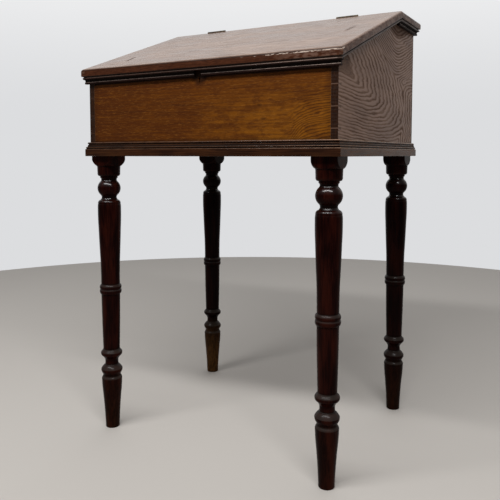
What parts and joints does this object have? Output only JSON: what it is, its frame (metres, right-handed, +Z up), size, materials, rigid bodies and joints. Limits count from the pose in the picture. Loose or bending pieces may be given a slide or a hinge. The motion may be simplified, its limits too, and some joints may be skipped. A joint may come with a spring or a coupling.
{
  "type": "clerk's standing desk",
  "caption": "Slope-top clerk's standing desk: dovetailed oak box with a hinged writing lid and flat top, on a moulded base frame and turned legs.",
  "frame": {"origin": "on the floor, under the middle of the whole desk", "axes": "+Z up, +X to the right of the person standing at the desk, -Y towards that person"},
  "size_m": [0.741, 0.609, 1.1395],
  "materials": {
    "oak_front": "golden brown oak, waxed",
    "oak_side": "grey brown oak, worn wax",
    "oak_lid": "brown oak, polished and worn",
    "oak_moulding": "dark brown oak, waxed",
    "oak_leg": "dark red brown stain, glossy",
    "oak_inner": "unfinished oak",
    "brass": "dulled brass",
    "iron": "darkened iron"
  },
  "bodies": {
    "carcass": {"front_board": "oak_front", "side_left": "oak_side", "side_right": "oak_side", "back_board": "oak_side", "top_board": "oak_lid", "base_rail_front": "oak_moulding", "base_rail_back": "oak_moulding", "base_rail_left": "oak_moulding", "base_rail_right": "oak_moulding", "cornice_left": "oak_moulding", "cornice_right": "oak_moulding", "cornice_back": "oak_moulding", "leg_front_left": "oak_leg", "leg_front_right": "oak_leg", "leg_back_left": "oak_leg", "leg_back_right": "oak_leg", "bottom_board": "oak_inner", "leg_block_front_left": "oak_inner", "leg_block_front_right": "oak_inner", "leg_block_back_left": "oak_inner", "leg_block_back_right": "oak_inner", "hinge_left_fixed_leaf": "brass", "hinge_right_fixed_leaf": "brass", "hinge_left_pin": "brass", "hinge_right_pin": "brass", "lock_case": "brass", "hinge_screws_top": "iron", "lock_screws": "iron", "frame_screws": "iron"},
    "lid": {"lid_panel": "oak_lid", "lid_strip_left": "oak_moulding", "lid_strip_right": "oak_moulding", "lid_batten_left": "oak_inner", "lid_batten_right": "oak_inner", "hinge_left_lid_leaf": "brass", "hinge_right_lid_leaf": "brass", "hinge_screws_lid": "iron", "batten_screws": "iron", "lock_strike": "brass", "strike_screws": "iron"},
    "lock_bolt": {"lock_bolt": "iron"}
  },
  "joints": [
    {"name": "lid_hinge", "type": "hinge", "parent": "carcass", "child": "lid", "pos_m": [0, 0.1205, 1.1365], "axis": [-1, 0, 0], "range_deg": [0, 130]},
    {"name": "bolt_throw", "type": "slide", "parent": "carcass", "child": "lock_bolt", "axis": [0, 0, 1], "range_m": [0, 0.009]}
  ]
}
